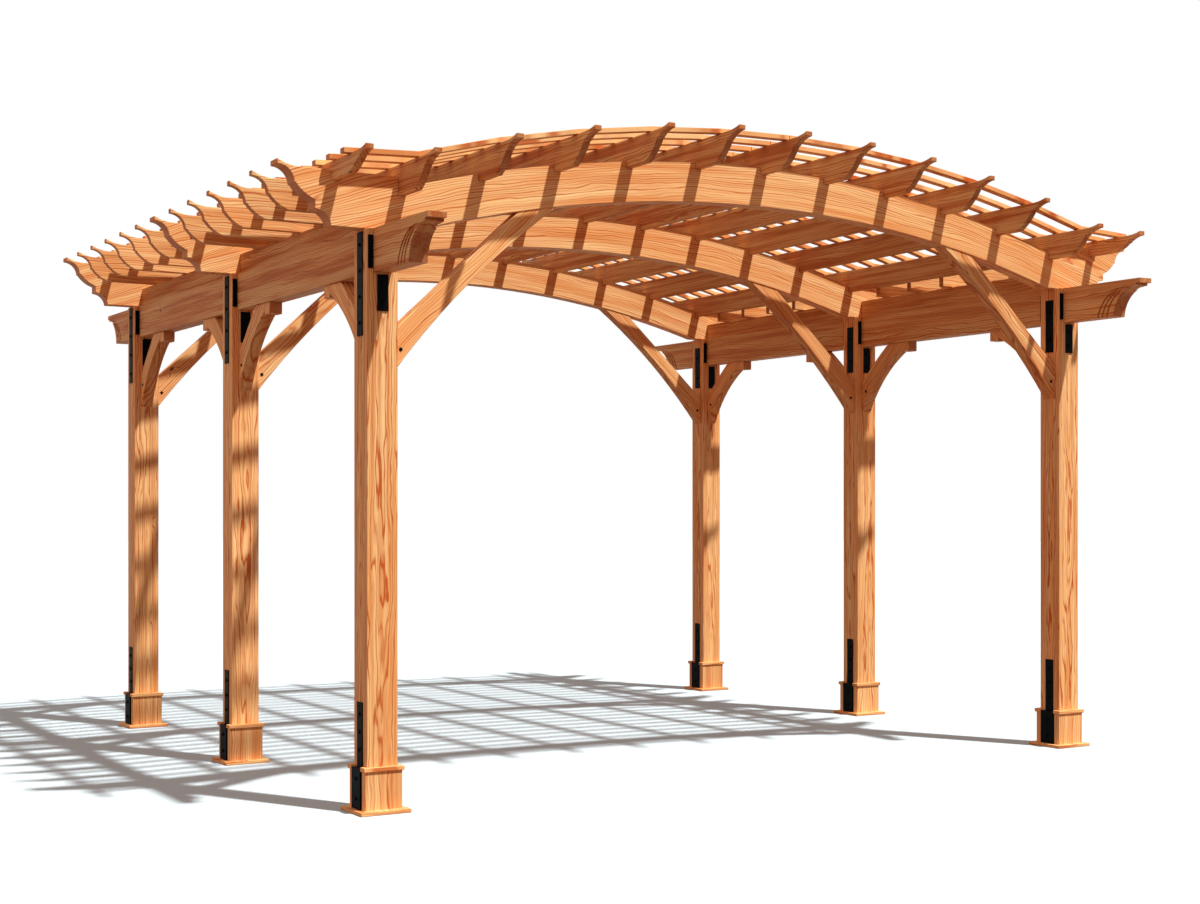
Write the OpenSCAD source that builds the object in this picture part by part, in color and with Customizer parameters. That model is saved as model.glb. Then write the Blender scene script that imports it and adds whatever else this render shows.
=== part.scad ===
// Timber pergola with an arched roof: six posts, two scroll-ended beams, three arches with kicked-up eaves,
// purlins let into the arches and a layer of bent slats. Millimetres, X across the arch, Y along the beams,
// Z up, origin on the ground at the middle of the plan.

/* [Overall] */
// Distance across the arch between post centre lines
span = 4270; // [3600:10:5400]
// Distance along a beam between neighbouring post centres
bay = 1830; // [1500:10:2600]
// Clear height from the ground to the underside of the beams
headroom = 2440; // [2200:10:3000]

/* [Posts] */
// Side of a square post
post_w = 150; // [130:1:200]

/* [Beams] */
// Thickness of a beam, which drops into an open slot in each post head
beam_t = 90; // [60:1:100]
// Depth of a beam
beam_d = 195; // [170:1:260]
// Reach of a beam past the outer post centres
beam_overhang = 650; // [450:10:900]
// Height of the square nose at a beam tip
beam_nose = 25; // [15:1:40]
// Length of the square nose at a beam tip
beam_nose_l = 28; // [15:1:50]
// Drop of the small step behind the nose
beam_step = 12; // [5:1:25]
// Length of the hollow curve under a beam end
beam_cove_l = 165; // [100:1:220]
// Number of carved grooves that sweep up to the nose on each face of a beam end
grooves = 3; // [1:1:4]
// Width of a groove
groove_w = 12; // [4:1:14]
// Depth of a groove
groove_deep = 8; // [2:1:12]
// Distance from the hollow to the first groove along the beam's lower edge
groove_in = 44; // [20:1:60]
// Distance from one groove to the next along that edge
groove_pitch = 34; // [30:1:45]

/* [Arches] */
// Thickness of an arch
arch_t = 90; // [60:1:120]
// Depth of an arch
arch_d = 200; // [160:1:240]
// Height of the crown's underside above the beam tops
arch_rise = 290; // [220:5:400]
// How far the arch's level seat reaches inside the posts
seat_in = 66; // [40:1:120]
// Reach of the seat past the outer post faces, up to the hollow cut at the arch heel
heel_out = 160; // [100:1:180]
// Height of the upright edge above the hollow at the arch heel
heel_edge = 40; // [20:1:60]

/* [Eaves] */
// Height of the eave plate that stands on a beam
plate_h = 110; // [90:1:140]
// Thickness of an eave plate
plate_t = 38; // [25:1:60]
// Depth of a rafter tail
tail_d = 140; // [120:1:180]
// Thickness of a rafter tail
tail_t = 38; // [25:1:60]
// Reach of a rafter tail past the post centre line
tail_reach = 485; // [440:5:600]
// Number of rafter tails between two arches
tails_per_bay = 5; // [2:1:7]
// Thickness of the eave strip that stands along the tails
strip_t = 38; // [25:1:50]
// Height of that strip's top above the tails
strip_h = 38; // [25:1:50]
// Depth to which the strip is let into the tails
strip_let = 45; // [20:1:60]
// Reach of the strip's outer face past the post centre line
strip_reach = 233; // [200:1:260]

/* [Purlins] */
// Thickness of a purlin
purlin_t = 38; // [25:1:50]
// Depth of a purlin
purlin_d = 140; // [120:1:180]
// Depth to which purlins are let into the arches
purlin_let = 35; // [15:1:50]
// Number of purlins on each side of the ridge purlin
purlins_per_side = 5; // [3:1:6]
// Distance of the last purlin inside the post centre line
purlin_in = 110; // [90:1:160]
// Reach of a purlin past the outer post centres
purlin_overhang = 430; // [350:10:600]

/* [Shaped tips] */
// How far the top edge sweeps up at a purlin tip
purlin_lift = 16; // [5:1:30]
// How far the top edge sweeps up at a tail tip
tail_lift = 28; // [10:1:40]
// Length of the upward sweep
tip_lift_l = 100; // [60:1:120]
// Height of the blunt nose on a tip
tip_nose = 24; // [15:1:30]
// Length of a purlin tip from the nose to the lower edge
purlin_tip_l = 215; // [180:5:300]
// Length of a tail tip from the nose to the lower edge
tail_tip_l = 175; // [140:5:190]
// Share of that length which the hollow curve behind the nose takes
tip_hollow_share = 0.45; // [0.4:0.05:0.6]
// Height of the hollow curve on a purlin tip
purlin_hollow = 18; // [10:1:35]
// Height of the hollow curve on a tail tip
tail_hollow = 48; // [20:1:60]
// Length of the small step between the hollow and the round curve
tip_step = 6; // [3:1:15]
// Most rise of the round curve that runs down to the lower edge
tip_round = 9; // [4:1:14]

/* [Slats] */
// Width of a slat
slat_w = 45; // [30:1:70]
// Thickness of a slat, measured upright
slat_t = 24; // [15:1:35]
// Distance from one slat to the next
slat_pitch = 166; // [90:1:200]
// Least distance from the upward sweep of the purlin tips to the outermost slats
slat_in = 10; // [5:1:150]
// Reach of the slat ends past the eave strip
slat_over = 32; // [10:1:60]
// Gap between the two lengths of a slat where they meet over the ridge purlin
slat_gap = 3; // [1:0.5:10]

/* [Arch braces] */
// Thickness of an arch brace
arch_brace_t = 80; // [60:1:100]
// Distance of the brace foot's lower corner below the beam tops
arch_brace_drop = 635; // [560:5:750]
// Height of the brace foot on the post
arch_brace_foot = 190; // [140:5:220]
// Reach of the brace's lower edge from the post
arch_brace_reach = 845; // [700:5:950]
// Length of the brace head along the arch
arch_brace_head = 205; // [150:5:240]
// Rise of the hollow lower edge
arch_brace_curve = 42; // [15:1:60]

/* [Beam braces] */
// Thickness of a beam brace
beam_brace_t = 70; // [50:1:90]
// Distance of the brace foot's lower corner below the beam
beam_brace_drop = 435; // [400:5:500]
// Height of the brace foot on the post
beam_brace_foot = 200; // [170:5:220]
// Reach of the brace from the post face
beam_brace_reach = 465; // [420:5:560]
// Length of the brace head under the beam
beam_brace_head = 200; // [170:5:240]
// Length of the square drop at the end of the brace head
beam_brace_drop_l = 70; // [50:1:90]
// Height of that drop's lower face under the beam
beam_brace_drop_h = 62; // [50:1:80]
// Height of the notch between the drop and the hollow lower edge
beam_brace_notch = 18; // [8:1:30]
// Rise of the hollow lower edge
beam_brace_curve = 46; // [15:1:55]
// Rise of the rounded upper edge
beam_brace_back = 7; // [3:1:15]

/* [Post bases] */
// Thickness of the boxed skirt around a post foot
skirt_t = 16; // [12:1:40]
// Height of the skirt to the top of its cap
skirt_h = 212; // [150:1:300]
// How far the flat flange under the skirt stands out from it
flange_out = 31; // [20:1:50]
// Thickness of that flange
flange_h = 18; // [10:1:30]
// How far the cap stands out from the skirt
cap_out = 8; // [4:1:15]
// Height of the cap
cap_h = 20; // [12:1:30]

/* [Steelwork] */
// Width of a steel shoe on a post foot
shoe_w = 98; // [70:1:120]
// Height of a shoe's top above the ground
shoe_h = 204; // [140:1:290]
// How far a shoe stands out from the skirt
shoe_out = 8; // [4:1:20]
// Width of a strap
strap_w = 58; // [40:1:65]
// Thickness of straps, plates and shoe walls
steel_t = 6; // [4:1:8]
// Height of the foot strap's upper end above the ground
foot_strap_h = 500; // [350:5:700]
// Length of the strap on the outer face of a post head
outer_strap_l = 470; // [400:5:560]
// Length of the strap on the inner face of a post head
inner_strap_l = 300; // [200:5:340]
// Distance from the beam top to the outer strap
outer_strap_drop = 10; // [5:1:40]
// Distance from the beam top to the inner strap
inner_strap_drop = 65; // [40:5:100]
// Width of the narrow plate on each cheek of a post head
cheek_plate_w = 24; // [15:1:28]
// Length of that plate
cheek_plate_l = 150; // [80:5:160]
// Width of the plate on a post under the beam
neck_plate_w = 54; // [40:1:60]
// Length of that plate
neck_plate_l = 165; // [100:5:200]
// Distance from the beam's lower edge to that plate
neck_plate_drop = 10; // [5:1:25]
// Distance from the beam top to the plates on the cheeks
cheek_plate_drop = 30; // [10:1:40]
// Gap between a shoe and the skirt on each side of it
shoe_gap = 0.5; // [0.2:0.1:2]

/* [Hidden] */
wood = "#c98247";
steel = "#15181a";
arc_steps = 10;
big_circle = 720;
half_span = span / 2;
seat_z = headroom + beam_d;
row_y = [-bay, 0, bay];
post_in = half_span - post_w / 2;
post_out = half_span + post_w / 2;
skirt_w = post_w + 2 * skirt_t;
flange_w = skirt_w + 2 * flange_out;

// The arch's underside is a circle through the crown and both inner ends of the seats
spring_x = post_in - seat_in;
arch_r = (spring_x * spring_x + arch_rise * arch_rise) / (2 * arch_rise);
arch_cz = seat_z + arch_rise - arch_r;
function under_z(x) = arch_cz + sqrt(arch_r * arch_r - x * x);
function top_z(x) = arch_cz + sqrt((arch_r + arch_d) * (arch_r + arch_d) - x * x);

// Purlins stand upright at even steps across the arch
purlin_pitch = (half_span - purlin_in) / purlins_per_side;
function purlin_x(i) = i * purlin_pitch;
function purlin_z(i) = top_z(purlin_x(i)) - purlin_let;
purlin_half = bay + purlin_overhang;
last_purlin_out = purlin_x(purlins_per_side) + purlin_t / 2;

tail_z = seat_z + plate_h;
tail_tip = half_span + tail_reach;
tail_pitch = bay / (tails_per_bay + 1);
strip_out = half_span + strip_reach;
strip_z = tail_z + tail_d;

slats = 2 * floor((purlin_half - tip_lift_l - slat_in - slat_w / 2) / slat_pitch + 1 / 2);
slats_third = round(slats / 3);

// Points from p to q on an arc whose middle stands off the chord by bulge, to the left where it is positive
function arc(p, q, bulge) =
    let (d = q - p, c = norm(d), side = sign(bulge), h = abs(bulge))
    let (r = (c * c / 4 + h * h) / (2 * h), normal = [-d[1], d[0]] / c)
    let (o = (p + q) / 2 + normal * side * (h - r), start = atan2(p[1] - o[1], p[0] - o[0]))
    let (sweep = 2 * asin(c / (2 * r)))
    [for (i = [0 : arc_steps]) o + r * [cos(start - side * sweep * i / arc_steps),
                                        sin(start - side * sweep * i / arc_steps)]];

// Bulge of an arc from p to q that runs out level or upright at one of its ends, whichever comes first
function runout_bulge(p, q) =
    let (slope = atan2(abs(q[1] - p[1]), abs(q[0] - p[0])))
    norm(q - p) / 2 * tan(min(slope, 90 - slope) / 2);

// A purlin or tail tip from its top edge down: upward sweep, nose, hollow, step and round
function shaped_tip(tip, top, depth, length, lift, hollow_h) =
    let (sweep = [tip - tip_lift_l, top], nose_top = [tip, top + lift], nose = nose_top - [0, tip_nose])
    let (hollow = [tip - tip_hollow_share * length, top - tip_nose - hollow_h])
    let (round_top = hollow - [tip_step, 0], heel = [tip - length, top - depth])
    concat(arc(sweep, nose_top, -runout_bulge(sweep, nose_top)),
           arc(nose, hollow, -runout_bulge(nose, hollow)),
           arc(round_top, heel, min(tip_round, runout_bulge(round_top, heel))));

// Tip of a tail or an arch end on the right
function tail_tip_points() = shaped_tip(tail_tip, strip_z, tail_d, tail_tip_l, tail_lift, tail_hollow);

// Tip at the back end of a purlin or an eave strip
function purlin_tip_points(top, depth) =
    shaped_tip(purlin_half, top, depth, purlin_tip_l, purlin_lift, purlin_hollow);

// The same points in the other order
function reversed(points) = [for (i = [len(points) - 1 : -1 : 0]) points[i]];

// The same points on the other side, in the other order
function mirrored(points) = [for (p = reversed(points)) [-p[0], p[1]]];

// A flat shape in X and Z, given a thickness along Y
module across(thickness) {
    rotate([90, 0, 0]) linear_extrude(thickness, center = true) children();
}

// A flat shape in Y and Z, given a thickness along X
module along(thickness) {
    rotate([90, 0, 90]) linear_extrude(thickness, center = true) children();
}

// A box between two corners
module block(low, high) {
    translate(low) cube(high - low);
}

// Puts its child at each post of one side
module at_posts(side) {
    for (y = row_y) translate([side * half_span, y, 0]) children();
}

// Post with an open slot in its head for the beam
module post(side, row) {
    color(wood) translate([side * half_span, row * bay, 0]) difference() {
        block([-post_w / 2, -post_w / 2, 0], [post_w / 2, post_w / 2, seat_z]);
        block([-beam_t / 2, -post_w, headroom], [beam_t / 2, post_w, seat_z + 1]);
    }
}

// Flange all round the post foot, with a skirt and cap that leave room for the shoes on two sides
module base_trims(side) {
    cap_w = skirt_w + 2 * cap_out;
    color(wood) at_posts(side) difference() {
        union() {
            block([-flange_w / 2, -flange_w / 2, 0], [flange_w / 2, flange_w / 2, flange_h]);
            block([-skirt_w / 2, -skirt_w / 2, 0], [skirt_w / 2, skirt_w / 2, skirt_h]);
            block([-cap_w / 2, -cap_w / 2, skirt_h - cap_h], [cap_w / 2, cap_w / 2, skirt_h]);
        }
        block([-post_w / 2, -post_w / 2, -1], [post_w / 2, post_w / 2, skirt_h + 1]);
        block([-flange_w, -shoe_w / 2 - shoe_gap, flange_h],
              [flange_w, shoe_w / 2 + shoe_gap, skirt_h + 1]);
    }
}

// The hollow under a beam end, from behind the nose down to the lower edge
function beam_hollow(tip) =
    let (top = [tip - beam_nose_l, seat_z - beam_nose - beam_step], heel = [top[0] - beam_cove_l, headroom])
    arc(top, heel, -0.2 * norm(heel - top));

// Outline of a beam end: nose, step and hollow
function beam_end(tip) =
    let (under = seat_z - beam_nose)
    concat([[tip, seat_z], [tip, under], [tip - beam_nose_l, under]], beam_hollow(tip));

// One groove from close behind the nose down to the lower edge, at a distance from the hollow there
module beam_groove(tip, distance) {
    hollow = beam_hollow(tip);
    top = hollow[0] - [distance / 2, groove_w];
    foot = hollow[arc_steps] - [distance, groove_w];
    line = arc(top, foot, -0.2 * norm(foot - top));
    polygon(concat(line, [for (p = reversed(line)) p + [-groove_w, groove_w] / sqrt(2)]));
}

module beam(side) {
    tip = bay + beam_overhang;
    end = beam_end(tip);
    color(wood) translate([side * half_span, 0, 0]) difference() {
        along(beam_t) polygon(concat(end, mirrored(end)));
        for (m = [0, 1], face = [-1, 1], k = [0 : grooves - 1])
            mirror([0, m, 0]) translate([face * beam_t / 2, 0, 0])
                along(2 * groove_deep) beam_groove(tip, groove_in + k * groove_pitch);
    }
}

// Room for the eave strip in a tail or an arch end on the right
module strip_housing() {
    translate([strip_out - strip_t, strip_z - strip_let]) square([strip_t, 2 * strip_let]);
}

// Level tail outline that starts at the last purlin, on the right
module tail_outline() {
    difference() {
        polygon(concat([[last_purlin_out, tail_z], [last_purlin_out, strip_z]], tail_tip_points()));
        strip_housing();
    }
}

// Right arch end from the last purlin out: the heel with a hollow cut at its corner, and the tail above it
function arch_end() =
    let (inner_x = purlin_x(purlins_per_side), corner = [post_out + heel_out, seat_z])
    let (tip = reversed(tail_tip_points()), edge = [tip[0][0], tail_z - heel_edge])
    concat([[inner_x, seat_z - arch_d], [corner[0], seat_z - arch_d]],
           arc(corner, edge, runout_bulge(corner, edge)), tip, [[inner_x, strip_z]]);

// The curved band as far as the post centre lines
module band_outline() {
    intersection() {
        translate([0, arch_cz]) difference() {
            circle(arch_r + arch_d, $fn = big_circle);
            circle(arch_r, $fn = big_circle);
        }
        translate([-half_span, seat_z - arch_d]) square([span, arch_rise + 3 * arch_d]);
    }
}

// Arch with its ends cut level at the beam tops and a housing for each purlin and eave strip
module arch(row) {
    color(wood) translate([0, row * bay, 0]) across(arch_t) difference() {
        union() {
            band_outline();
            polygon(arch_end());
            polygon(mirrored(arch_end()));
        }
        translate([-tail_tip, seat_z - 2 * arch_d]) square([2 * tail_tip, 2 * arch_d]);
        for (i = [-purlins_per_side : purlins_per_side])
            translate([purlin_x(i) - purlin_t / 2, purlin_z(i)]) square([purlin_t, purlin_d]);
        for (m = [0, 1]) mirror([m, 0]) strip_housing();
    }
}

// A pair of braces from the posts up to an arch, with hollow lower edges
module arch_braces(row) {
    foot = [post_in, seat_z - arch_brace_drop];
    head_x = post_in - arch_brace_reach;
    head = [head_x, under_z(head_x)];
    above = [0, arch_d];
    color(wood) translate([0, row * bay, 0]) across(arch_brace_t) for (m = [0, 1]) mirror([m, 0])
        intersection() {
            polygon(concat(arc(foot, head, -arch_brace_curve),
                           [head + above, head + above + [arch_brace_head, 0],
                            [head_x + arch_brace_head, under_z(head_x + arch_brace_head)],
                            foot + [0, arch_brace_foot]]));
            translate([0, arch_cz]) circle(arch_r, $fn = big_circle);
        }
}

// One brace from a post up to the beam: hollow lower edge, square drop at the head and rounded upper edge
module beam_brace() {
    foot = [post_w / 2, headroom - beam_brace_drop];
    end = [post_w / 2 + beam_brace_reach, headroom];
    drop = end - [beam_brace_drop_l, beam_brace_drop_h];
    along(beam_brace_t) polygon(concat(
        arc(foot, drop + [0, beam_brace_notch], beam_brace_curve), [drop, [end[0], drop[1]], end],
        arc(end - [beam_brace_head, 0], foot + [0, beam_brace_foot], -beam_brace_back)));
}

module beam_braces(side) {
    color(wood) for (row = [-1 : 1], way = [-1, 1]) if (row * way < 1)
        translate([side * half_span, row * bay, 0]) mirror([0, way < 0 ? 1 : 0, 0]) beam_brace();
}

// Plates on a beam, one in each bay between the arches
module eave_plates(side) {
    color(wood) for (y = [-bay, 0])
        translate([side * half_span - plate_t / 2, y + arch_t / 2, seat_z])
            cube([plate_t, bay - arch_t, plate_h]);
}

module rafter_tails(side) {
    color(wood) for (y = [-bay, 0], k = [1 : tails_per_bay])
        translate([0, y + k * tail_pitch, 0]) mirror([side < 0 ? 1 : 0, 0, 0])
            across(tail_t) tail_outline();
}

// Purlin i, counted from the ridge to the right, with a shaped tip at each end
module purlin(i) {
    top = purlin_z(i) + purlin_d;
    tip = purlin_tip_points(top, purlin_d);
    color(wood) translate([purlin_x(i), 0, 0]) along(purlin_t) polygon(concat(tip, mirrored(tip)));
}

module purlins(side) {
    for (i = [1 : purlins_per_side]) purlin(side * i);
}

// Strip that stands in the tails under the slat ends, with a shaped tip at each end
module eave_strip(side) {
    tip = purlin_tip_points(strip_z + strip_h, strip_h + strip_let);
    color(wood) translate([side * (strip_out - strip_t / 2), 0, 0])
        along(strip_t) polygon(concat(tip, mirrored(tip)));
}

// Lower line of a slat from the ridge to one eave: it bends over each purlin's lower top edge
function slat_line() =
    let (last = [last_purlin_out, purlin_z(purlins_per_side) + purlin_d])
    let (rest = [strip_out, strip_z + strip_h])
    let (fall = (rest[1] - last[1]) / (rest[0] - last[0]))
    concat([[slat_gap / 2, purlin_z(0) + purlin_d]],
           [for (i = [0 : purlins_per_side]) [purlin_x(i) + purlin_t / 2, purlin_z(i) + purlin_d]],
           [rest + [slat_over, slat_over * fall]]);

// Slats from number first up to, but without, number end, counted from the front, each in two lengths
module slat_group(first, end) {
    lower = slat_line();
    outline = concat(lower, [for (p = reversed(lower)) p + [0, slat_t]]);
    color(wood) for (k = [first : end - 1], length = [outline, mirrored(outline)])
        translate([0, (k - (slats - 1) / 2) * slat_pitch, 0]) across(slat_w) polygon(length);
}

// Folded steel shoe with a strap that runs up the post, on the outer and inner face of each post
module post_shoes(side) {
    face = post_w / 2;
    front = skirt_w / 2 + shoe_out;
    color(steel) at_posts(side) for (m = [0, 1]) mirror([m, 0, 0]) difference() {
        union() {
            block([face, -shoe_w / 2, flange_h], [front, shoe_w / 2, shoe_h]);
            block([face, -strap_w / 2, flange_h], [face + steel_t, strap_w / 2, foot_strap_h]);
        }
        block([face + steel_t, -shoe_w / 2 + steel_t, 0],
              [front - steel_t, shoe_w / 2 - steel_t, shoe_h - steel_t]);
    }
}

// Straps and plates that hold a beam in the post heads
module head_straps(side) {
    face = post_w / 2;
    cheek_x = (post_w + beam_t) / 4;
    outer_top = seat_z - outer_strap_drop;
    inner_top = seat_z - inner_strap_drop;
    cheek_top = seat_z - cheek_plate_drop;
    neck_top = headroom - neck_plate_drop;
    color(steel) at_posts(side) {
        mirror([side < 0 ? 1 : 0, 0, 0]) {
            block([face, -strap_w / 2, outer_top - outer_strap_l],
                  [face + steel_t, strap_w / 2, outer_top]);
            block([-face - steel_t, -strap_w / 2, inner_top - inner_strap_l],
                  [-face, strap_w / 2, inner_top]);
        }
        for (m = [0, 1]) mirror([0, m, 0]) {
            block([-neck_plate_w / 2, face, neck_top - neck_plate_l],
                  [neck_plate_w / 2, face + steel_t, neck_top]);
            for (x = [-cheek_x, cheek_x])
                block([x - cheek_plate_w / 2, face, cheek_top - cheek_plate_l],
                      [x + cheek_plate_w / 2, face + steel_t, cheek_top]);
        }
    }
}

post(-1, -1);  // front_left_post
post(-1, 0);  // middle_left_post
post(-1, 1);  // back_left_post
post(1, -1);  // front_right_post
post(1, 0);  // middle_right_post
post(1, 1);  // back_right_post
base_trims(-1);  // left_base_trims
base_trims(1);  // right_base_trims
beam(-1);  // left_beam
beam(1);  // right_beam
arch(-1);  // front_arch
arch(0);  // middle_arch
arch(1);  // back_arch
arch_braces(-1);  // front_arch_braces
arch_braces(0);  // middle_arch_braces
arch_braces(1);  // back_arch_braces
beam_braces(-1);  // left_beam_braces
beam_braces(1);  // right_beam_braces
eave_plates(-1);  // left_eave_plates
eave_plates(1);  // right_eave_plates
rafter_tails(-1);  // left_rafter_tails
rafter_tails(1);  // right_rafter_tails
purlins(-1);  // left_purlins
purlin(0);  // ridge_purlin
purlins(1);  // right_purlins
eave_strip(-1);  // left_eave_strip
eave_strip(1);  // right_eave_strip
slat_group(0, slats_third);  // front_slats
slat_group(slats_third, slats - slats_third);  // middle_slats
slat_group(slats - slats_third, slats);  // back_slats
post_shoes(-1);  // left_post_shoes
post_shoes(1);  // right_post_shoes
head_straps(-1);  // left_head_straps
head_straps(1);  // right_head_straps
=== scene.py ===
import math
import random

import bmesh
import bpy
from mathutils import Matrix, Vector


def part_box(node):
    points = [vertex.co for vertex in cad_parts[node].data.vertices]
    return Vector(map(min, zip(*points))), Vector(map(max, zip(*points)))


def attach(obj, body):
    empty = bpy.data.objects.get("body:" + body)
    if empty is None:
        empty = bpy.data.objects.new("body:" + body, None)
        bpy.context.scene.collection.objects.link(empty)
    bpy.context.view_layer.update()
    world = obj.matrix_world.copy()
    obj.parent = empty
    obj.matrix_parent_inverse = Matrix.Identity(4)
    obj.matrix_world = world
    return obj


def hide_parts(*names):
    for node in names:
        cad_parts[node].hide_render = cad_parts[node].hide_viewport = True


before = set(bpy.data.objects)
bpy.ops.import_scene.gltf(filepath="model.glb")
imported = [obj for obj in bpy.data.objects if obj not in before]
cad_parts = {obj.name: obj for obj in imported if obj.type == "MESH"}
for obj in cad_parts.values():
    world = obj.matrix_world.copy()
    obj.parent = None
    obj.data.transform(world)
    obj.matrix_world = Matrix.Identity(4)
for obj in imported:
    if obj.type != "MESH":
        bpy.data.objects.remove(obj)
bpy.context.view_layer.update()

dice = random.Random(41)

# Sizes in metres, as in the part's source
HALF_SPAN = 2.135
POST_W = 0.150
BAY = 1.830
HEADROOM = 2.440
FLANGE_H = 0.018
SKIRT_H = 0.212
CAP_H = 0.020
SEAT_Z = 2.635
ARCH_RISE = 0.290
ARCH_D = 0.200
SEAT_IN = 0.066
SPRING_X = HALF_SPAN - POST_W / 2 - SEAT_IN
ARCH_R = (SPRING_X ** 2 + ARCH_RISE ** 2) / (2 * ARCH_RISE)
ARCH_CZ = SEAT_Z + ARCH_RISE - ARCH_R
PURLINS_PER_SIDE = 5
PURLIN_PITCH = 0.405
STRIP_X = 2.349
STEEL_T = 0.006

# Places of bolts and screws: heights above the ground, and how far from the post a brace bolt sits
STRAP_BOLT_PITCH = 0.125
SHOE_BOLTS_Z = (0.065, 0.155)
SHOE_STRAP_BOLTS_Z = (0.285, 0.365, 0.445)
ARCH_BRACE_HALF_T, ARCH_BRACE_BOLT_OUT, ARCH_BRACE_BOLT_Z = 0.040, 0.030, SEAT_Z - 0.535
BEAM_BRACE_HALF_T, BEAM_BRACE_BOLT_OUT, BEAM_BRACE_BOLT_Z = 0.035, 0.038, HEADROOM - 0.300
SCREW_OFF_RIDGE = 0.006

# Two heights that differ by less than this are the same
HAIR = 0.0005
# Edges as planing and powder coating round them
TIMBER_EASE, SLAT_EASE, STEEL_EASE = 0.003, 0.002, 0.0012

# Growth rings are 3 to 5 mm apart in such timber. So that they show, they are drawn at this size over the
# fineness of the log, which is 7 mm apart on posts and 12 mm on the other boards.
RING = 0.013
# Logs: how far their heart lies from the middle of a board, in its width and in its thickness, and their
# fineness. Posts hold the heart, so that a flame stands in the middle of each face.
POST_LOG = ((0.0, 0.02), (0.0, 0.02), 1.9)
BOARD_LOG = ((0.10, 0.24), (0.02, 0.08), 1.1)
# How far from the middle of a slat its upper and lower faces are taken to lie in the log
SLAT_DEPTH = 0.010
# The beams, plates, purlins and eave strips are darkened all over: painted shade of the roof over them. The
# tails and the arches are a little darker in tone.
PART_TONES_AND_SHADE = (("_beam", 0.82), ("_plates", 0.82), ("_purlins", 0.82), ("_purlin", 0.82), ("_strip", 0.86),
         ("_tails", 0.94), ("_arch", 0.95))
STEEL_NODES = ["left_post_shoes", "right_post_shoes", "left_head_straps", "right_head_straps"]


def colour(hex_code):
    """sRGB hex to linear RGBA."""
    parts = [int(hex_code[i:i + 2], 16) / 255 for i in (1, 3, 5)]
    return tuple(c / 12.92 if c <= 0.04045 else ((c + 0.055) / 1.055) ** 2.4 for c in parts) + (1.0,)


def add(tree, kind, inputs=None, **settings):
    """Adds a node with its settings. Each input is a value, or the output that is linked to it."""
    node = tree.nodes.new(kind)
    for name, value in settings.items():
        setattr(node, name, value)
    for key, value in (inputs or {}).items():
        if isinstance(value, bpy.types.NodeSocket):
            tree.links.new(value, node.inputs[key])
        else:
            node.inputs[key].default_value = value
    return node


def put(name, data):
    """An object in the scene that shows some data."""
    thing = bpy.data.objects.new(name, data)
    bpy.context.scene.collection.objects.link(thing)
    return thing


def new_material(name):
    material = bpy.data.materials.new(name)
    material.use_nodes = True
    material.node_tree.nodes.clear()
    return material, material.node_tree


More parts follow.
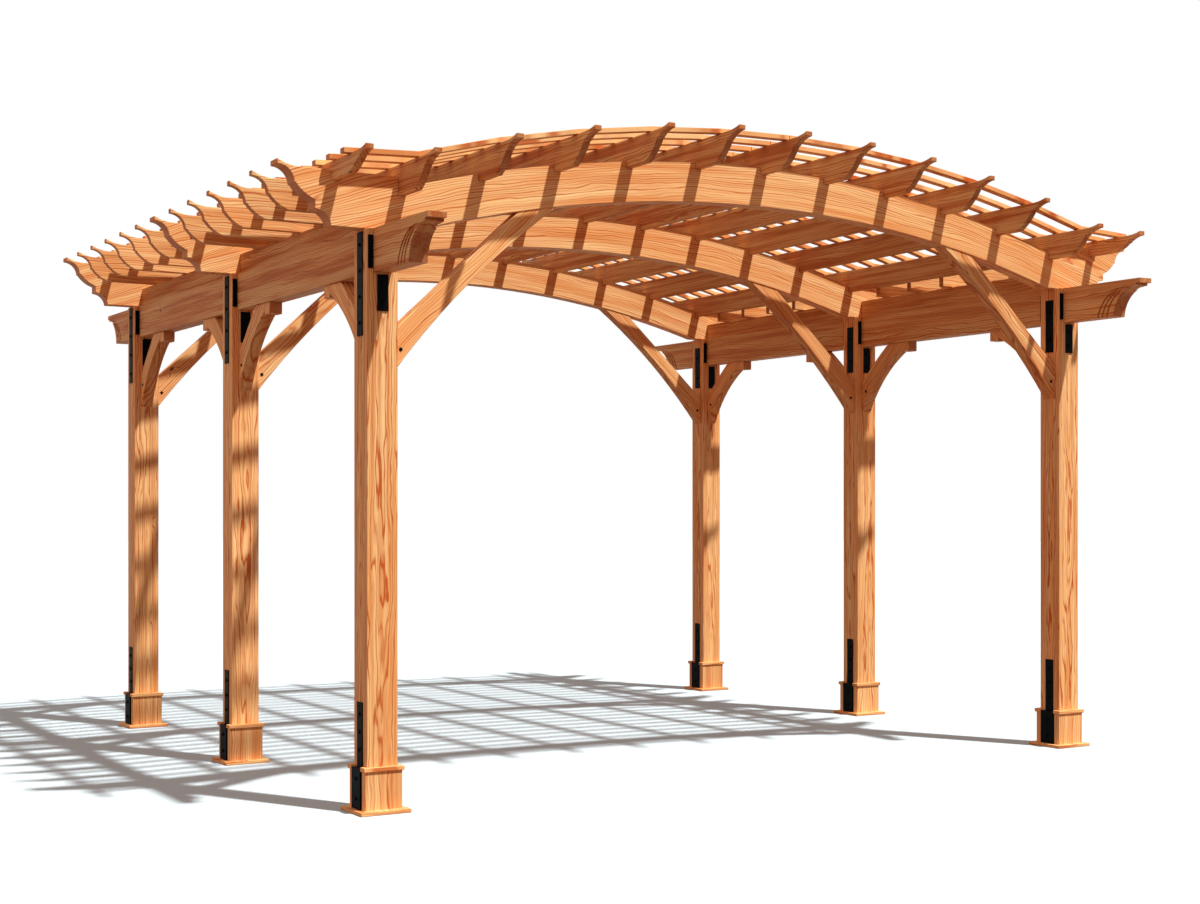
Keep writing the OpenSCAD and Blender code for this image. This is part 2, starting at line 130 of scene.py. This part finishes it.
# Planed and oiled softwood: pale orange early wood between fine red-brown late wood lines. Faces near the
# middle of a log show long flames of grain, the others straight lines, and here and there a small knot pushes
# them aside.
def oiled_cedar():
    material, tree = new_material("oiled_cedar")
    grain = add(tree, "ShaderNodeAttribute", attribute_name="grain").outputs["Vector"]
    tone_and_shade = add(tree, "ShaderNodeAttribute", attribute_name="tone_and_shade").outputs["Fac"]
    end = add(tree, "ShaderNodeAttribute", attribute_name="end").outputs["Fac"]
    split = add(tree, "ShaderNodeSeparateXYZ", {0: grain})
    across = add(tree, "ShaderNodeCombineXYZ", {1: split.outputs[1], 2: split.outputs[2]}).outputs[0]
    radius = add(tree, "ShaderNodeVectorMath", {0: across}, operation="LENGTH").outputs["Value"]

    # Noise stretched along the grain, by the length and width of one patch in metres
    noise = {}
    for name, length, width, detail in (
            ("wave", 0.70, 0.150, 2.0),      # slow bends of the growth rings
            ("flame", 0.26, 0.070, 2.0),     # the flame figure on flat-sawn faces
            ("streak", 0.90, 0.034, 3.0),    # redder and paler streaks of a few rings together
            ("heart", 1.10, 0.120, 2.0),     # patches of redder heartwood
            ("fibre", 0.30, 0.0045, 2.0)):   # fibres are finer than 1 mm, and are drawn 4.5 mm wide
        place = add(tree, "ShaderNodeVectorMath", {0: grain, 1: (1 / length, 1 / width, 1 / width)},
                    operation="MULTIPLY").outputs[0]
        cloud = add(tree, "ShaderNodeTexNoise", {"Vector": place, "Scale": 1.0, "Detail": detail})
        noise[name] = cloud.outputs["Fac"]

    # Knots in cells about 300 mm long and up to 150 mm wide, of which one in twelve holds one
    knot_place = add(tree, "ShaderNodeVectorMath", {0: grain, 1: (3.3, 6.0, 6.0)},
                     operation="MULTIPLY").outputs[0]
    cell = add(tree, "ShaderNodeTexVoronoi", {"Vector": knot_place, "Scale": 1.0}, feature="F1")
    chance = add(tree, "ShaderNodeSeparateColor", {0: cell.outputs["Color"]}).outputs[0]
    chosen = add(tree, "ShaderNodeMath", {0: chance, 1: 0.92}, operation="GREATER_THAN").outputs[0]
    near = add(tree, "ShaderNodeMapRange", {0: cell.outputs["Distance"], 1: 0.26, 2: 0.03, 3: 0.0, 4: 1.0},
               interpolation_type="SMOOTHSTEP").outputs[0]
    push = add(tree, "ShaderNodeMath", {0: near, 1: chosen}, operation="MULTIPLY").outputs[0]
    core = add(tree, "ShaderNodeMapRange", {0: cell.outputs["Distance"], 1: 0.08, 2: 0.03, 3: 0.0, 4: 1.0},
               interpolation_type="SMOOTHSTEP").outputs[0]
    knot = add(tree, "ShaderNodeMath", {0: core, 1: chosen}, operation="MULTIPLY").outputs[0]

    # Rings round the heart, bent by the slow waves, the flames and the knots, in metres
    bent = radius
    for shift, reach in ((noise["wave"], 0.070), (noise["flame"], 0.036), (push, 0.030)):
        bent = add(tree, "ShaderNodeMath", {0: shift, 1: reach, 2: bent}, operation="MULTIPLY_ADD").outputs[0]
    rings = add(tree, "ShaderNodeMath", {0: bent, 1: 1 / RING}, operation="MULTIPLY").outputs[0]
    # Through one ring: pale early wood, then the late wood line. No two years are alike.
    phase = add(tree, "ShaderNodeMath", {0: rings}, operation="FRACT").outputs[0]
    line = add(tree, "ShaderNodeValToRGB", {0: phase})
    ramp = line.color_ramp
    ramp.elements[0].position, ramp.elements[0].color = 0.0, (0.30, 0.30, 0.30, 1)
    ramp.elements[1].position, ramp.elements[1].color = 1.0, (0.30, 0.30, 0.30, 1)
    for place, grey in ((0.20, 0.0), (0.55, 0.15), (0.76, 0.90), (0.88, 1.0)):
        ramp.elements.new(place).color = (grey, grey, grey, 1)
    year = add(tree, "ShaderNodeMath", {0: rings}, operation="FLOOR").outputs[0]
    mood = add(tree, "ShaderNodeTexWhiteNoise", {"W": year}, noise_dimensions="1D").outputs["Value"]
    mood = add(tree, "ShaderNodeMapRange", {0: mood, 3: 0.30, 4: 1.0}).outputs[0]
    late = add(tree, "ShaderNodeMath", {0: line.outputs[0], 1: mood}, operation="MULTIPLY").outputs[0]
    # Sawn ends drink the oil: they are deeper all over, and their rings show only faintly
    faint = add(tree, "ShaderNodeMath", {0: late, 1: 0.15, 2: 0.55}, operation="MULTIPLY_ADD").outputs[0]
    late = add(tree, "ShaderNodeMix", {0: end, 2: late, 3: faint}).outputs[0]

    # Boards that are darkened, by their own tone and by the painted shade under the roof, have darker bands
    # in their streaks
    deep = add(tree, "ShaderNodeMapRange", {0: tone_and_shade, 1: 1.0, 2: 0.8, 3: 0.0, 4: 1.0}).outputs[0]
    heart = add(tree, "ShaderNodeMapRange", {0: noise["heart"], 1: 0.40, 2: 0.72, 3: 0.0, 4: 0.5}).outputs[0]
    streak = add(tree, "ShaderNodeMapRange", {0: noise["streak"], 1: 0.35, 2: 0.7, 3: 0.0, 4: 0.6}).outputs[0]
    band = add(tree, "ShaderNodeMapRange", {0: noise["streak"], 1: 0.47, 2: 0.66, 3: 0.0, 4: 0.6}).outputs[0]
    band = add(tree, "ShaderNodeMath", {0: band, 1: deep}, operation="MULTIPLY").outputs[0]
    body = colour("#ffd594")
    for share, deeper in ((heart, "#f2a04d"), (streak, "#e07b28"), (band, "#b4531c"), (late, "#be510e"),
                          (knot, "#6b351c")):
        body = add(tree, "ShaderNodeMix", {0: share, 6: body, 7: colour(deeper)}, data_type="RGBA").outputs[2]
    fine = add(tree, "ShaderNodeMapRange", {0: noise["fibre"], 1: 0.25, 2: 0.75, 3: 0.91, 4: 1.08}).outputs[0]
    shade = add(tree, "ShaderNodeMapRange", {0: end, 3: 1.0, 4: 0.85}).outputs[0]
    value = add(tree, "ShaderNodeMath", {0: fine, 1: shade}, operation="MULTIPLY").outputs[0]
    # Each board is darkened all over: by its own random tone, and by painted shade on the timbers under the
    # roof
    value = add(tree, "ShaderNodeMath", {0: value, 1: tone_and_shade}, operation="MULTIPLY").outputs[0]
    body = add(tree, "ShaderNodeHueSaturation", {"Value": value, "Color": body}).outputs[0]

    gloss = add(tree, "ShaderNodeMapRange", {0: late, 3: 0.70, 4: 0.58}).outputs[0]
    relief = add(tree, "ShaderNodeMath", {0: noise["fibre"], 1: 0.5, 2: late},
                 operation="MULTIPLY_ADD").outputs[0]
    bump = add(tree, "ShaderNodeBump", {"Strength": 0.3, "Distance": 0.0006, "Height": relief}).outputs[0]
    wood = add(tree, "ShaderNodeBsdfPrincipled", {"Base Color": body, "Roughness": gloss, "Normal": bump,
                                                  "Specular IOR Level": 0.2})
    add(tree, "ShaderNodeOutputMaterial", {0: wood.outputs[0]})
    return material


# Mild steel plate with a black powder coat: satin, with the fine orange peel that the baked powder leaves
def black_powder_coat():
    material, tree = new_material("black_powder_coat")
    place = add(tree, "ShaderNodeTexCoord").outputs["Object"]
    # Orange peel has waves of 1 to 2 mm, drawn 4 mm wide
    peel = add(tree, "ShaderNodeTexNoise", {"Vector": place, "Scale": 1 / 0.004,
                                           "Detail": 2.0}).outputs["Fac"]
    # Dust and handling leave paler patches of about 60 mm
    dust = add(tree, "ShaderNodeTexNoise", {"Vector": place, "Scale": 1 / 0.0625,
                                           "Detail": 4.0}).outputs["Fac"]
    dust = add(tree, "ShaderNodeMapRange", {0: dust, 1: 0.5, 2: 0.8}).outputs[0]
    coat = add(tree, "ShaderNodeMix", {0: dust, 6: colour("#050606"), 7: colour("#0a0b0c")},
               data_type="RGBA").outputs[2]
    rough = add(tree, "ShaderNodeMapRange", {0: dust, 3: 0.50, 4: 0.66}).outputs[0]
    bump = add(tree, "ShaderNodeBump", {"Strength": 0.2, "Distance": 0.0004, "Height": peel}).outputs[0]
    steel = add(tree, "ShaderNodeBsdfPrincipled", {"Base Color": coat, "Roughness": rough, "Normal": bump,
                                                   "Specular IOR Level": 0.03})
    add(tree, "ShaderNodeOutputMaterial", {0: steel.outputs[0]})
    return material


def islands(bm):
    """The separate solids in a mesh, as lists of vertices."""
    left, found = set(bm.verts), []
    while left:
        stack, group = [left.pop()], []
        while stack:
            vert = stack.pop()
            group.append(vert)
            for edge in vert.link_edges:
                other = edge.other_vert(vert)
                if other in left:
                    left.remove(other)
                    stack.append(other)
        found.append(group)
    return sorted(found, key=lambda g: min(tuple(round(c, 4) for c in v.co) for v in g))


def merged_copy(node):
    """A node's solids as clean faces: doubles merged and flat triangles joined."""
    bm = bmesh.new()
    bm.from_mesh(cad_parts[node].data)
    bmesh.ops.remove_doubles(bm, verts=bm.verts, dist=0.00005)
    bmesh.ops.dissolve_limit(bm, angle_limit=math.radians(0.4), verts=bm.verts, edges=bm.edges)
    return bm


def ease_edges(bm, width):
    """Rounds the sharp edges, as planing or powder coating leaves them."""
    sharp = [e for e in bm.edges if len(e.link_faces) == 2 and e.calc_face_angle() > math.radians(32)]
    bmesh.ops.bevel(bm, geom=sharp, offset=width, segments=2, profile=0.5, affect="EDGES", clamp_overlap=True)


def finish_piece(bm, name, material, slot, *nodes):
    """Makes a piece of a mesh: flat faces stay flat and curves are smooth."""
    for edge in bm.edges:
        edge.smooth = len(edge.link_faces) == 2 and edge.calc_face_angle() < math.radians(14)
    for face in bm.faces:
        face.smooth = True
    mesh = bpy.data.meshes.new(name)
    bm.to_mesh(mesh)
    bm.free()
    mesh.materials.append(material)
    piece = put(name, mesh)
    if nodes:
        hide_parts(*nodes)
    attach(piece, "root")
    return piece


def axis(number):
    return Vector([float(i == number) for i in range(3)])


def corners(group):
    """Lowest and highest corner of the box round some vertices."""
    return (Vector([min(v.co[i] for v in group) for i in range(3)]),
            Vector([max(v.co[i] for v in group) for i in range(3)]))


def board_frame(group, node):
    """Middle of a board, and its directions along, across and through the grain."""
    low, high = corners(group)
    size = high - low
    order = sorted(range(3), key=lambda i: -size[i])
    if "braces" in node:
        foot = min(group, key=lambda v: v.co.z).co
        head = max(group, key=lambda v: (v.co - foot).length).co
        along = head - foot
        along[order[2]] = 0
        along.normalize()
        through = axis(order[2])
        return (low + high) / 2, along, through.cross(along), through
    return ((low + high) / 2,) + tuple(axis(i) for i in order)


def trim_board(middle, spot):
    """Which board of a boxed trim a place is on, and its directions: the skirt's grain stands upright."""
    away = spot - middle
    flat = 0 if abs(away.x) > abs(away.y) else 1
    if spot.z < FLANGE_H + HAIR:
        layer = 0
    elif spot.z > SKIRT_H - CAP_H - HAIR:
        layer = 2
    else:
        layer = 1
    along, across = (axis(2), axis(1 - flat)) if layer == 1 else (axis(1 - flat), axis(2))
    return (layer, flat, away[flat] > 0), along, across, axis(flat)


def lay_grain(bm, node):
    """Gives every board its own place in a log, its own tone with the painted shade of its part, and a mark
    on its end grain.
    """
    grain = bm.loops.layers.float_vector.new("grain")
    tone_and_shade = bm.faces.layers.float.new("tone_and_shade")
    end = bm.faces.layers.float.new("end")
    thin = node.endswith("_slats")
    bent = thin or node.endswith("_arch")
    wide, deep, fineness = POST_LOG if node.endswith("_post") else BOARD_LOG
    # The part's tone, with painted shade on the beams, plates, purlins and eave strips under the roof
    part_tone_and_shade = next((share for word, share in PART_TONES_AND_SHADE if node.endswith(word)), 1.0)
    bm.faces.index_update()
    for group in islands(bm):
        middle, along, across, through = board_frame(group, node)
        logs = {}
        for face in sorted({f for v in group for f in v.link_faces}, key=lambda f: f.index):
            board, spot = 0, face.calc_center_median()
            if "trims" in node:
                board, along, across, through = trim_board(middle, spot)
            if board not in logs:
                logs[board] = (dice.uniform(0, 60), dice.choice((-1, 1)) * dice.uniform(*wide),
                               dice.choice((-1, 1)) * dice.uniform(*deep), dice.uniform(-0.006, 0.006),
                               dice.choice((-1, 1)) * dice.uniform(0.006, 0.014),
                               part_tone_and_shade * dice.uniform(0.93, 1.06))
            start, pith_a, pith_b, lean_a, lean_b, shade = logs[board]
            way = along
            if bent:
                turn = math.atan2(spot.x, spot.z - ARCH_CZ)
                way = Vector((math.cos(turn), 0, -math.sin(turn)))
            face[tone_and_shade] = shade
            # End grain fades in on faces that turn more than half across the board
            face[end] = max(0.0, min(1.0, (abs(face.normal.dot(way)) - 0.5) * 4))
            for loop in face.loops:
                place = loop.vert.co - middle
                if bent:
                    x, z = loop.vert.co.x, loop.vert.co.z - ARCH_CZ
                    run, b = math.atan2(x, z) * ARCH_R, place.y
                    # An arch is sawn out of wider boards, and a bent slat keeps its grain along its length
                    a = face.normal.z * SLAT_DEPTH if thin else math.hypot(x, z) - ARCH_R - ARCH_D / 2
                else:
                    run, a, b = place.dot(along), place.dot(across), place.dot(through)
                loop[grain] = (run + start, (a - pith_a + lean_a * run) * fineness,
                               (b - pith_b + lean_b * run) * fineness)


def timber_piece(node, material):
    bm = merged_copy(node)
    small = any(word in node for word in ("slats", "strip"))
    ease_edges(bm, SLAT_EASE if small else TIMBER_EASE)
    # An arch is cut at every degree, so that its grain can follow the curve
    if node.endswith("_arch"):
        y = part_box(node)[0][1]
        for step in range(-22, 23):
            turn = math.radians(step)
            bmesh.ops.bisect_plane(bm, geom=bm.verts[:] + bm.edges[:] + bm.faces[:], dist=0.00001,
                                   plane_co=(0, y, ARCH_CZ), plane_no=(math.cos(turn), 0, -math.sin(turn)))
    lay_grain(bm, node)
    return finish_piece(bm, node + "_timber", material, "timber", node)


def bolt_places():
    """Where bolts sit on straps, plates and shoes, each with the way that it points."""
    places = []
    for node in STEEL_NODES:
        bm = merged_copy(node)
        for group in islands(bm):
            low, high = corners(group)
            middle, size = (low + high) / 2, high - low
            post = Vector((math.copysign(HALF_SPAN, middle.x), round(middle.y / BAY) * BAY, 0))
            away = middle - post
            if "straps" in node:
                thin = 0 if size.x < size.y else 1
                out = Vector((0, 0, 0))
                out[thin] = math.copysign(1, away[thin])
                count = max(2, round(size.z / STRAP_BOLT_PITCH))
                for i in range(count):
                    spot = middle + out * size[thin] / 2
                    spot.z = low.z + size.z * (i + 0.5) / count
                    places.append((spot, out))
            else:
                out = Vector((math.copysign(1, away.x), 0, 0))
                face = post.x + out.x * (POST_W / 2 + STEEL_T)
                front = high.x if out.x > 0 else low.x
                for x, heights in ((front, SHOE_BOLTS_Z), (face, SHOE_STRAP_BOLTS_Z)):
                    places += [(Vector((x, post.y, z)), out) for z in heights]
        bm.free()
    return places


def brace_bolt_places():
    """Where one bolt shows on each face of a brace foot."""
    places = []
    for side in (-1, 1):
        for row in (-1, 0, 1):
            for face in (-1, 1):
                x = side * (HALF_SPAN - POST_W / 2 - ARCH_BRACE_BOLT_OUT)
                spot = Vector((x, row * BAY + face * ARCH_BRACE_HALF_T, ARCH_BRACE_BOLT_Z))
                places.append((spot, Vector((0, face, 0))))
                for way in (-1, 1):
                    if row * way < 1:
                        y = row * BAY + way * (POST_W / 2 + BEAM_BRACE_BOLT_OUT)
                        spot = Vector((side * HALF_SPAN + face * BEAM_BRACE_HALF_T, y, BEAM_BRACE_BOLT_Z))
                        places.append((spot, Vector((face, 0, 0))))
    return places


def screw_places():
    """Where screws hold the slats down: over every purlin and over the eave strips."""
    places = []
    for node in ("front_slats", "middle_slats", "back_slats"):
        bm = merged_copy(node)
        for group in islands(bm):
            middle_y = sum(v.co.y for v in group) / len(group)
            top = sorted({(round(v.co.x, 4), round(v.co.z, 4)) for v in group})
            upper = {}
            for x, z in top:
                upper[x] = max(z, upper.get(x, z))
            spots = sorted(upper)
            side = 1 if sum(spots) > 0 else -1
            line = [(x, upper[x]) for x in spots]
            wanted = [side * (PURLIN_PITCH * k + SCREW_OFF_RIDGE) for k in range(PURLINS_PER_SIDE + 1)]
            wanted.append(side * STRIP_X)
            for x in wanted:
                for (x0, z0), (x1, z1) in zip(line, line[1:]):
                    if x0 <= x <= x1:
                        slope = (z1 - z0) / (x1 - x0)
                        spot = Vector((x, middle_y, z0 + (x - x0) * slope))
                        places.append((spot, Vector((-slope, 0, 1)).normalized()))
                        break
        bm.free()
    return places


def fasteners(name, places, sizes, material):
    """Round heads on washers, set out with Geometry Nodes and made a plain mesh."""
    mesh = bpy.data.meshes.new(name + "_places")
    mesh.from_pydata([p for p, _ in places], [], [])
    ways = mesh.attributes.new("way", "FLOAT_VECTOR", "POINT")
    for i, (_, out) in enumerate(places):
        ways.data[i].vector = out
    source = put(name + "_places", mesh)

    tree = bpy.data.node_groups.new(name, "GeometryNodeTree")
    tree.interface.new_socket("Places", in_out="INPUT", socket_type="NodeSocketGeometry")
    for label in sizes:
        tree.interface.new_socket(label, in_out="INPUT", socket_type="NodeSocketFloat")
    tree.interface.new_socket("Fasteners", in_out="OUTPUT", socket_type="NodeSocketGeometry")
    given = add(tree, "NodeGroupInput").outputs
    half = add(tree, "ShaderNodeMath", {0: given["Washer height"], 1: 0.5}, operation="MULTIPLY").outputs[0]
    washer = add(tree, "GeometryNodeMeshCylinder", {"Vertices": 14, "Radius": given["Washer radius"],
                                                    "Depth": given["Washer height"]}).outputs["Mesh"]
    lift = add(tree, "ShaderNodeCombineXYZ", {2: half}).outputs[0]
    washer = add(tree, "GeometryNodeTransform", {"Geometry": washer, "Translation": lift}).outputs[0]
    head = add(tree, "GeometryNodeMeshCone", {"Vertices": 12, "Radius Top": given["Head top radius"],
                                              "Radius Bottom": given["Head radius"],
                                              "Depth": given["Head height"]}).outputs["Mesh"]
    base = add(tree, "ShaderNodeCombineXYZ", {2: given["Washer height"]}).outputs[0]
    head = add(tree, "GeometryNodeTransform", {"Geometry": head, "Translation": base}).outputs[0]
    both = add(tree, "GeometryNodeJoinGeometry")
    for part in (washer, head):
        tree.links.new(part, both.inputs[0])
    way = add(tree, "GeometryNodeInputNamedAttribute", {"Name": "way"},
              data_type="FLOAT_VECTOR").outputs[0]
    turn = add(tree, "FunctionNodeAlignRotationToVector", {"Vector": way}, axis="Z").outputs[0]
    copies = add(tree, "GeometryNodeInstanceOnPoints", {"Points": given["Places"], "Rotation": turn,
                                                        "Instance": both.outputs[0]}).outputs[0]
    plain = add(tree, "GeometryNodeRealizeInstances", {0: copies}).outputs[0]
    coated = add(tree, "GeometryNodeSetMaterial", {"Geometry": plain, "Material": material}).outputs[0]
    add(tree, "NodeGroupOutput", {0: coated})

    modifier = source.modifiers.new(name, "NODES")
    modifier.node_group = tree
    for item in tree.interface.items_tree:
        if item.in_out == "INPUT" and item.name in sizes:
            modifier[item.identifier] = sizes[item.name]
    shown = source.evaluated_get(bpy.context.evaluated_depsgraph_get())
    bm = bmesh.new()
    result = bpy.data.meshes.new_from_object(shown)
    bm.from_mesh(result)
    source.modifiers.clear()
    bpy.data.objects.remove(source)
    return finish_piece(bm, name, material, "black_steel")


def seen_directly(tree):
    """1 for rays that the camera sees, straight or by a gloss, and 0 for those that only bring light."""
    path = add(tree, "ShaderNodeLightPath").outputs
    seen = path["Is Camera Ray"]
    for ray in ("Is Glossy Ray", "Is Transmission Ray"):
        seen = add(tree, "ShaderNodeMath", {0: seen, 1: path[ray]}, operation="MAXIMUM").outputs[0]
    return seen


def sun_lamp(name, strength, spread, stand, tint=(1.0, 1.0, 1.0)):
    """A far lamp, by its strength, its spread in degrees and the way to where it stands."""
    lamp = bpy.data.lights.new(name, "SUN")
    lamp.energy = strength
    lamp.angle = math.radians(spread)
    lamp.color = tint
    put(name, lamp).rotation_euler = Vector(stand).to_track_quat("Z", "Y").to_euler()


cedar = oiled_cedar()
powder_coat = black_powder_coat()

for name in sorted(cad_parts):
    if name in STEEL_NODES:
        shell = merged_copy(name)
        ease_edges(shell, STEEL_EASE)
        finish_piece(shell, name + "_coated", powder_coat, "black_steel", name)
    else:
        timber_piece(name, cedar)

fasteners("strap_bolts", bolt_places(),
          {"Washer radius": 0.011, "Washer height": 0.0016, "Head radius": 0.0085, "Head top radius": 0.0055,
           "Head height": 0.005}, powder_coat)
fasteners("brace_bolts", brace_bolt_places(),
          {"Washer radius": 0.009, "Washer height": 0.0012, "Head radius": 0.0070, "Head top radius": 0.0045,
           "Head height": 0.004}, powder_coat)
fasteners("slat_screws", screw_places(),
          {"Washer radius": 0.0048, "Washer height": 0.0004, "Head radius": 0.0030, "Head top radius": 0.0022,
           "Head height": 0.0005}, powder_coat)

# Plain pale floor. It gives less light back to the object than the camera sees on it.
pale, tree = new_material("pale_floor")
paint = add(tree, "ShaderNodeMix", {0: seen_directly(tree), 6: colour("#694a3e"), 7: colour("#c8d5d9")},
            data_type="RGBA").outputs[2]
matt = add(tree, "ShaderNodeBsdfDiffuse", {"Color": paint}).outputs[0]
add(tree, "ShaderNodeOutputMaterial", {0: matt})
bm = bmesh.new()
bmesh.ops.create_circle(bm, cap_ends=True, segments=64, radius=60)
floor_mesh = bpy.data.meshes.new("pale_floor")
bm.to_mesh(floor_mesh)
bm.free()
floor_mesh.materials.append(pale)
put("pale_floor", floor_mesh)

# White surroundings for the camera, soft even light for the object
world = bpy.data.worlds.new("white_room")
bpy.context.scene.world = world
world.use_nodes = True
tree = world.node_tree
tree.nodes.clear()
level = add(tree, "ShaderNodeMix", {0: seen_directly(tree), 6: (0.42, 0.35, 0.325, 1), 7: (1, 1, 1, 1)},
            data_type="RGBA").outputs[2]
sky = add(tree, "ShaderNodeBackground", {"Color": level, "Strength": 1.0}).outputs[0]
add(tree, "ShaderNodeOutputWorld", {0: sky})

# Sun from the front right, 61 degrees up, and a wide warm light on the shaded left faces
sun_lamp("key_light", 5.0, 1.6, (0.45, -0.893, math.tan(math.radians(61))))
sun_lamp("fill_light", 0.5, 90, (-1, -0.1, 0.3), (1.0, 0.68, 0.64))

# Place and lens worked out from the post feet, the post heads and the beam lines
lens = bpy.data.cameras.new("camera")
lens.sensor_width = 36
lens.lens = 53.376
lens.shift_x, lens.shift_y = -0.0207, 0.0441
camera = put("camera", lens)
camera.location = (-5.373, -9.325, 1.391)
camera.rotation_euler = (math.pi / 2, 0, -math.radians(31.33))
bpy.context.scene.camera = camera
bpy.context.scene.view_settings.view_transform = "Standard"
